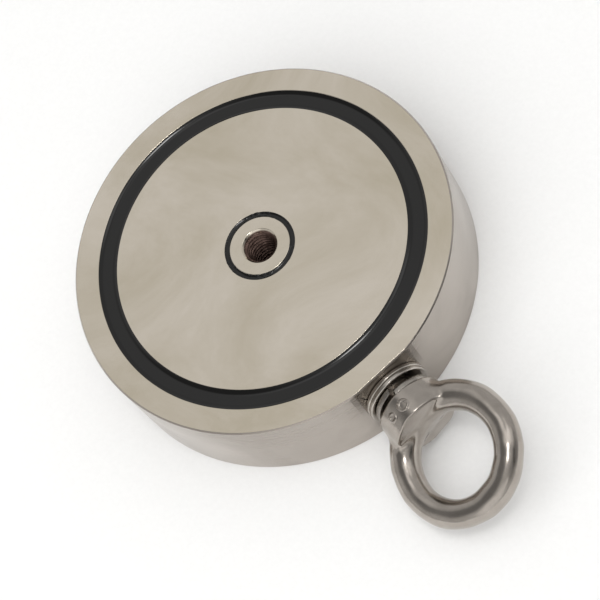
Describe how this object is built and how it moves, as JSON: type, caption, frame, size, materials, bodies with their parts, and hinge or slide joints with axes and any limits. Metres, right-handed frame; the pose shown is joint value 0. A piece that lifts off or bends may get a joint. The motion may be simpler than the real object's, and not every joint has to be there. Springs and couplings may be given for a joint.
{
  "type": "fishing magnet",
  "caption": "Double-sided round pot magnet for magnet fishing, with black epoxy rings, a threaded centre hole and an eye bolt in its side for a rope.",
  "frame": {"origin": "centre of the round casing, on the axis of the threaded centre hole and halfway through the thickness", "axes": "+Z along the centre hole towards the front face, +X along the eye bolt, outwards, +Y across"},
  "size_m": [0.1637, 0.116, 0.028],
  "materials": {
    "casing_nickel": "bright nickel plate, polished faces and satin side",
    "plate_nickel": "bright nickel plate, polished",
    "bush_nickel": "bright nickel plate, with bare thread",
    "magnet_plating": "dull nickel plate on sintered magnet",
    "black_epoxy": "semi-gloss poured epoxy",
    "adhesive_film": "cured adhesive",
    "washer_steel": "satin stainless steel",
    "bolt_stainless": "tumble-polished forged stainless steel"
  },
  "bodies": {
    "magnet": {"casing": "casing_nickel", "centre_bush": "bush_nickel", "front_magnet": "magnet_plating", "front_magnet_bond": "adhesive_film", "front_pole_plate": "plate_nickel", "front_plate_bond": "adhesive_film", "front_epoxy_ring": "black_epoxy", "front_hub_epoxy": "black_epoxy", "rear_magnet": "magnet_plating", "rear_magnet_bond": "adhesive_film", "rear_pole_plate": "plate_nickel", "rear_plate_bond": "adhesive_film", "rear_epoxy_ring": "black_epoxy", "rear_hub_epoxy": "black_epoxy"},
    "washers": {"inner_washer": "washer_steel", "outer_washer": "washer_steel", "spring_washer": "washer_steel"},
    "eye_bolt": {"eye_bolt": "bolt_stainless"}
  },
  "joints": [
    {"name": "bolt_travel", "type": "slide", "parent": "magnet", "child": "washers", "axis": [1, 0, 0], "range_m": [0, 0.012]},
    {"name": "bolt_turn", "type": "hinge", "parent": "washers", "child": "eye_bolt", "pos_m": [0.0638, 0, 0.001], "axis": [1, 0, 0], "range_deg": [0, 2880]}
  ],
  "couplings": [
    {"joint": "bolt_travel", "follows": "bolt_turn", "m_per_rad": 0.00023873}
  ]
}
